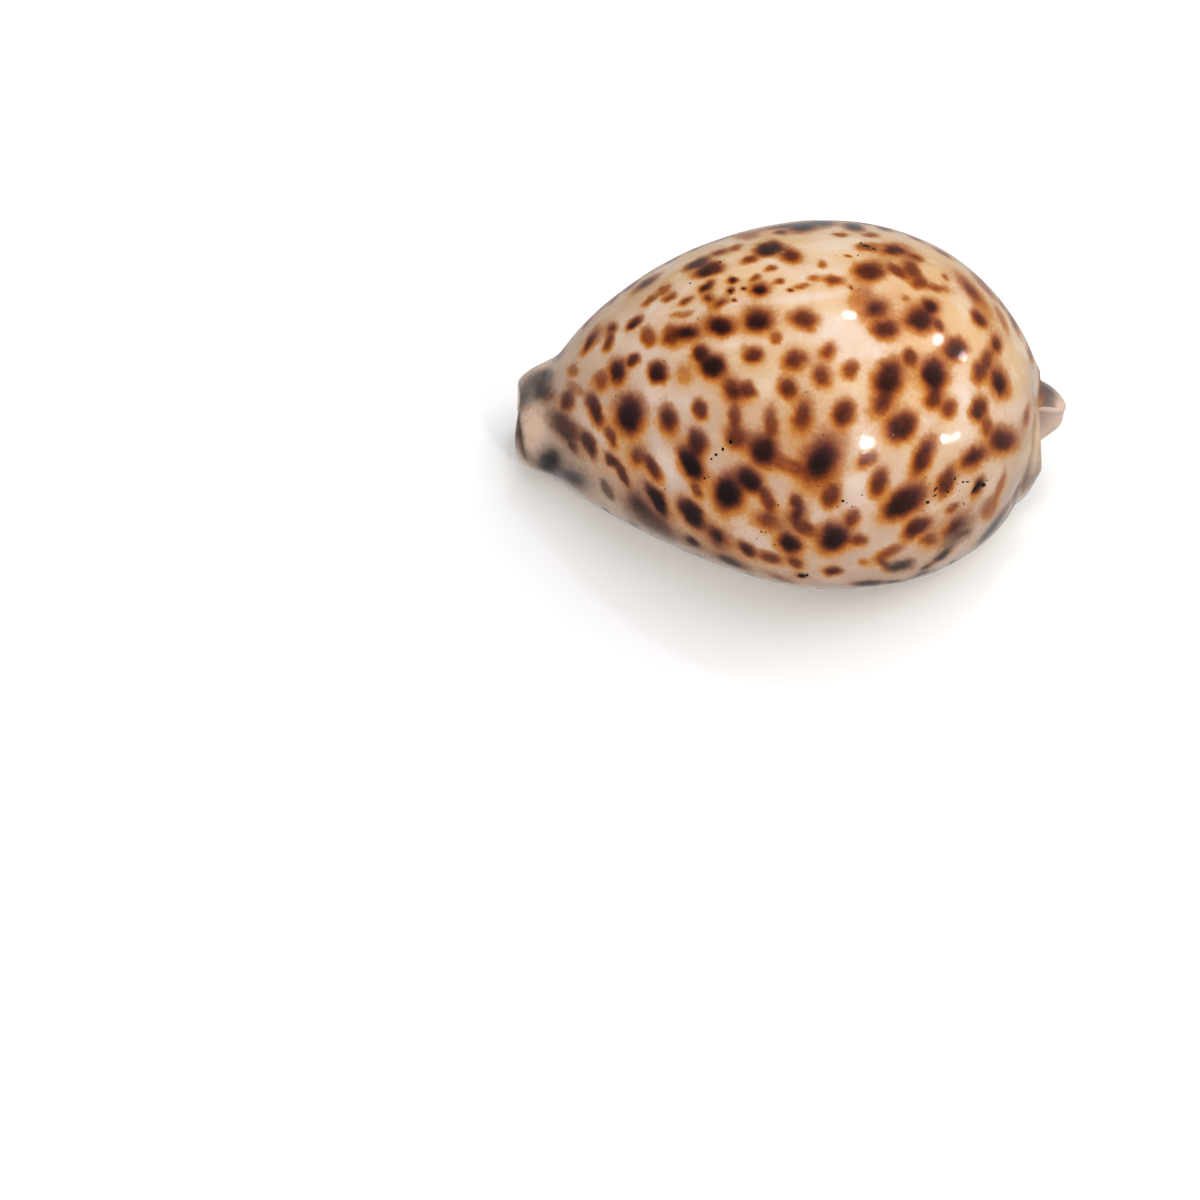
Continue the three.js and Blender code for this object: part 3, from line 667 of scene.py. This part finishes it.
def math_(op, a, b=None, c=None, clamp=False):
    o = node("ShaderNodeMath", operation=op, use_clamp=clamp)
    for i, v in enumerate((a, b, c)):
        if v is None:
            continue
        if isinstance(v, (int, float)):
            o.inputs[i].default_value = v
        else:
            L(v, o.inputs[i])
    return o.outputs[0]


def mix(fac, a, b, mode="MIX"):
    o = node("ShaderNodeMix", data_type="RGBA", blend_type=mode)
    o.inputs[0].default_value = fac if isinstance(fac, (int, float)) else 0
    if not isinstance(fac, (int, float)):
        L(fac, o.inputs[0])
    for sock, v in ((o.inputs[6], a), (o.inputs[7], b)):
        if isinstance(v, tuple):
            sock.default_value = v
        else:
            L(v, sock)
    return o.outputs[2]


def remap(v, a, b, c=0.0, d=1.0):
    o = node("ShaderNodeMapRange", interpolation_type="SMOOTHSTEP")
    L(v, o.inputs[0])
    for i, x in enumerate((a, b, c, d)):
        o.inputs[i + 1].default_value = x
    return o.outputs[0]


tex = node("ShaderNodeTexCoord").outputs["Object"]


def noise(scale, detail=3.0, rough=0.5, vec=None):
    o = node("ShaderNodeTexNoise")
    o.inputs["Scale"].default_value = scale
    o.inputs["Detail"].default_value = detail
    o.inputs["Roughness"].default_value = rough
    L(vec or tex, o.inputs["Vector"])
    return o.outputs["Fac"]


def ramp(fac, stops):
    o = node("ShaderNodeValToRGB")
    e = o.color_ramp.elements
    while len(e) < len(stops):
        e.new(0.5)
    for k, (p, col) in enumerate(stops):
        e[k].position, e[k].color = p, col
    L(fac, o.inputs[0])
    return o.outputs[0]


n_big = noise(60, 2)
n_mid = noise(330, 3)
n_fine = noise(1500, 4, 0.6)
n_grain = noise(5200, 2, 0.6)
n_crinkle = noise(2700, 2, 0.55)

ink_s = attr("ink")
bell = math_("MULTIPLY", math_("POWER", ink_s, 0.75), math_("SUBTRACT", 1.03, ink_s))
rough_edge = math_("ADD", math_("MULTIPLY", math_("SUBTRACT", n_fine, 0.5), 0.95), math_("MULTIPLY", math_("SUBTRACT", n_mid, 0.5), 0.30))
ink_n = math_("ADD", ink_s, math_("MULTIPLY", bell, rough_edge), clamp=True)

# ground: cream to pinkish, clouded along the shell, amber staining round the spots, lilac-white glaze; darker and
# greyer on the downward-facing sides, partly painted shade
stretch = node("ShaderNodeMapping")
stretch.inputs["Scale"].default_value = (0.42, 1.0, 1.0)
L(tex, stretch.inputs["Vector"])
n_streak = noise(230, 4, 0.55, stretch.outputs[0])
n_cloud = noise(170, 3, 0.55)
warm_n = math_("ADD", attr("warm"), math_("MULTIPLY", math_("SUBTRACT", n_cloud, 0.5), 0.6), clamp=True)
ground = mix(warm_n, lin(183, 156, 141), lin(226, 188, 139))
ground = mix(math_("MULTIPLY", remap(n_streak, 0.47, 0.66, 0.0, 0.8), math_("ADD", math_("MULTIPLY", warm_n, 0.7), 0.3)), ground, lin(234, 213, 188))
ground = mix(math_("MULTIPLY", attr("blush"), remap(n_cloud, 0.3, 0.65, 0.3, 0.85)), ground, lin(200, 140, 80))
# lilac-white patches; round the front highlight this is a painted haze of reflection
ground = mix(math_("MULTIPLY", attr("veil"), remap(n_streak, 0.3, 0.7, 1.15, 0.8)), ground, lin(230, 212, 201))
stain = math_("MULTIPLY", attr("halo"), remap(n_mid, 0.36, 0.66, 0.05, 0.75))
ground = mix(stain, ground, lin(204, 132, 60))
ground = mix(math_("MULTIPLY", attr("pale"), 0.92), ground, lin(228, 194, 172))
# spots
brown = ramp(ink_n, [(0.0, lin(210, 160, 106)), (0.16, lin(202, 142, 72)), (0.30, lin(188, 113, 42)), (0.44, lin(158, 80, 20)),
                     (0.58, lin(124, 54, 15)), (0.70, lin(90, 36, 13)), (0.80, lin(54, 21, 11)), (0.90, lin(28, 11, 7)), (1.0, lin(15, 5, 4))])
grey = ramp(ink_n, [(0.0, lin(188, 162, 146)), (0.2, lin(158, 136, 121)), (0.4, lin(112, 97, 86)), (0.6, lin(76, 66, 59)), (0.85, lin(34, 29, 27))])
purple = ramp(ink_n, [(0.0, lin(196, 158, 134)), (0.16, lin(180, 136, 110)), (0.30, lin(152, 102, 80)), (0.44, lin(122, 74, 58)),
                      (0.58, lin(96, 54, 47)), (0.70, lin(76, 41, 39)), (0.82, lin(52, 26, 27)), (0.95, lin(26, 12, 13))])
cool_n = math_("ADD", attr("cool"), math_("MULTIPLY", math_("SUBTRACT", n_big, 0.5), 0.3), clamp=True)
# spots turn lilac-purple: partly their own colour, partly a painted sheen on each spot's lit upper side
spot = mix(math_("MULTIPLY", remap(math_("ADD", attr("lilac_tint_and_sheen"), math_("MULTIPLY", math_("SUBTRACT", n_mid, 0.5), 0.5)), 0.25, 0.9), math_("SUBTRACT", 0.9, math_("MULTIPLY", warm_n, 0.5))), brown, purple)
spot = mix(math_("MULTIPLY", cool_n, 0.92), spot, grey)
body = mix(remap(ink_n, 0.02, 0.24), ground, spot)
# grey to near-black patches over both ends
end_grey_fac = math_("MULTIPLY", attr("end_grey"), remap(n_mid, 0.3, 0.7, 1.0, 0.6))
body = mix(end_grey_fac, body, mix(ink_n, lin(132, 122, 117), lin(36, 29, 27)))
# painted shade along the rear crease and the front rim line
body = mix(attr("crease_shade"), body, lin(70, 44, 34))
# small pores, pressed in by the bump and painted dark brown: painted shade in them
vor = node("ShaderNodeTexVoronoi", feature="F1")
vor.inputs["Scale"].default_value = 380
L(tex, vor.inputs["Vector"])
pick = node("ShaderNodeSeparateColor")
L(vor.outputs["Color"], pick.inputs[0])
chosen = remap(pick.outputs[0], 0.80, 0.82)
pore = math_("MULTIPLY", remap(vor.outputs["Distance"], 0.045, 0.075, 1.0, 0.0), chosen)
body = mix(math_("MULTIPLY", pore, 0.75), body, lin(60, 34, 20))
# light specks: small raised bumps painted pale, painted glints
vor2 = node("ShaderNodeTexVoronoi", feature="F1")
vor2.inputs["Scale"].default_value = 470
L(tex, vor2.inputs["Vector"])
pick2 = node("ShaderNodeSeparateColor")
L(vor2.outputs["Color"], pick2.inputs[0])
speck = math_("MULTIPLY", remap(vor2.outputs["Distance"], 0.03, 0.065, 1.0, 0.0), remap(pick2.outputs[1], 0.80, 0.82))
body = mix(math_("MULTIPLY", speck, 0.35), body, lin(226, 200, 180))
# pits and chips, pressed in and painted near-black: painted shade inside them
pit_m = None
for k in range(SETS):
    ln = node("ShaderNodeVectorMath", operation="LENGTH")
    L(attr("pit%d" % k, "Vector"), ln.inputs[0])
    one = remap(math_("ADD", ln.outputs["Value"], math_("MULTIPLY", math_("SUBTRACT", n_grain, 0.5), 0.8)), 0.8, 1.2, 1.0, 0.0)
    pit_m = one if pit_m is None else math_("MAXIMUM", pit_m, one)
body = mix(pit_m, body, lin(10, 6, 5))
# base, inside
body = mix(attr("base"), body, lin(236, 220, 200))
body = mix(math_("MULTIPLY", attr("inside"), 0.9), body, mix(attr("deep"), lin(222, 192, 173), lin(196, 184, 188)))

bsdf = node("ShaderNodeBsdfPrincipled")
L(body, bsdf.inputs["Base Color"])
L(math_("ADD", 0.26, math_("MULTIPLY", n_mid, 0.12)), bsdf.inputs["Roughness"])
bsdf.inputs["IOR"].default_value = 1.5
bsdf.inputs["Specular IOR Level"].default_value = 0.28
bsdf.inputs["Coat Weight"].default_value = 0.75
bsdf.inputs["Coat Roughness"].default_value = 0.02
height = math_("ADD", math_("MULTIPLY", n_fine, 0.24), math_("MULTIPLY", n_crinkle, 0.25))
height = math_("SUBTRACT", height, math_("MULTIPLY", pit_m, 3.0))
height = math_("SUBTRACT", height, math_("MULTIPLY", pore, 1.0))
height = math_("ADD", height, math_("MULTIPLY", speck, 0.9))
bump = node("ShaderNodeBump")
bump.inputs["Strength"].default_value = 0.5
bump.inputs["Distance"].default_value = 0.0001
L(height, bump.inputs["Height"])
L(bump.outputs[0], bsdf.inputs["Normal"])
L(bump.outputs[0], bsdf.inputs["Coat Normal"])
outn = node("ShaderNodeOutputMaterial")
L(bsdf.outputs[0], outn.inputs["Surface"])
me.materials.append(mat)

# ---------------------------------------------------------------- floor, lights
fm = bpy.data.meshes.new("floor")
fm.from_pydata([(-3, -3, 0), (3, -3, 0), (3, 3, 0), (-3, 3, 0)], [], [(0, 1, 2, 3)])
floor = bpy.data.objects.new("floor", fm)
bpy.context.collection.objects.link(floor)
fmat = bpy.data.materials.new("pale floor")
fmat.use_nodes = True
fb = fmat.node_tree.nodes["Principled BSDF"]
fb.inputs["Base Color"].default_value = (0.93, 0.93, 0.93, 1)
fb.inputs["Roughness"].default_value = 0.7
fb.inputs["Specular IOR Level"].default_value = 0.2
fm.materials.append(fmat)
floor.visible_glossy = False


def area(name, direction, dist, size, power, colour=(1, 1, 1), aim=(0, 0, 0.02)):
    d = bpy.data.lights.new(name, "AREA")
    d.shape, d.size, d.size_y, d.energy, d.color = "RECTANGLE", size[0], size[1], power, colour
    o = bpy.data.objects.new(name, d)
    bpy.context.collection.objects.link(o)
    v = Vector(direction).normalized()
    o.location = Vector(aim) + v * dist
    o.rotation_euler = (-v).to_track_quat("-Z", "Y").to_euler()
    return o


for name, direction, power in (("softbox", (0.27, 0.20, 0.95), 30.5), ("left fill", (-0.65, -0.55, 0.52), 14.8)):
    soft = area(name, direction, 1.5, (2.2, 2.2), power)
    soft.visible_glossy = False
area("front lamp", (0.41, -0.73, 0.55), 0.9, (0.05, 0.045), 1.3)
area("front lamp 2", (0.37, -0.71, 0.60), 0.9, (0.014, 0.012), 0.16)
area("front lamp 3", (0.46, -0.70, 0.55), 0.9, (0.012, 0.02), 0.14)
for size, power in ((0.12, 0.07), (0.20, 0.08), (0.30, 0.10)):
    area("front glow", (0.405, -0.73, 0.55), 0.91 + size / 20, (size, size), power).data.shape = "DISK"
area("back lamp", (0.11, 0.37, 0.92), 0.9, (0.048, 0.02), 0.5)
area("right lamp", (0.76, 0.36, 0.54), 0.9, (0.03, 0.012), 0.34)
area("right lamp 2", (0.88, 0.36, 0.29), 0.9, (0.012, 0.022), 0.22)
area("low lamp", (0.96, -0.22, 0.16), 0.9, (0.016, 0.02), 0.40)
area("low lamp 2", (0.99, -0.13, 0.08), 0.9, (0.016, 0.016), 0.30)

world = bpy.data.worlds.new("studio")
bpy.context.scene.world = world
world.use_nodes = True
wt = world.node_tree
bg = wt.nodes["Background"]
tc = wt.nodes.new("ShaderNodeTexCoord")
sep = wt.nodes.new("ShaderNodeSeparateXYZ")
wt.links.new(tc.outputs["Generated"], sep.inputs[0])
mr = wt.nodes.new("ShaderNodeMapRange")
mr.interpolation_type = "SMOOTHSTEP"
wt.links.new(sep.outputs[2], mr.inputs[0])
for i, x in enumerate((0.0, 0.9, 0.11, 0.06)):
    mr.inputs[i + 1].default_value = x
# the outline reflects the pale floor that goes on behind the shell
dot = wt.nodes.new("ShaderNodeVectorMath")
dot.operation = "DOT_PRODUCT"
wt.links.new(tc.outputs["Generated"], dot.inputs[0])
dot.inputs[1].default_value = (0.0, 0.68, -0.73)
far = wt.nodes.new("ShaderNodeMapRange")
far.interpolation_type = "SMOOTHSTEP"
wt.links.new(dot.outputs["Value"], far.inputs[0])
for i, x in enumerate((0.60, 0.95, 0.0, 0.33)):
    far.inputs[i + 1].default_value = x
total = wt.nodes.new("ShaderNodeMath")
wt.links.new(mr.outputs[0], total.inputs[0])
wt.links.new(far.outputs[0], total.inputs[1])
wt.links.new(total.outputs[0], bg.inputs["Strength"])
bg.inputs["Color"].default_value = (1, 1, 1, 1)
bpy.context.scene.view_settings.view_transform = "Standard"
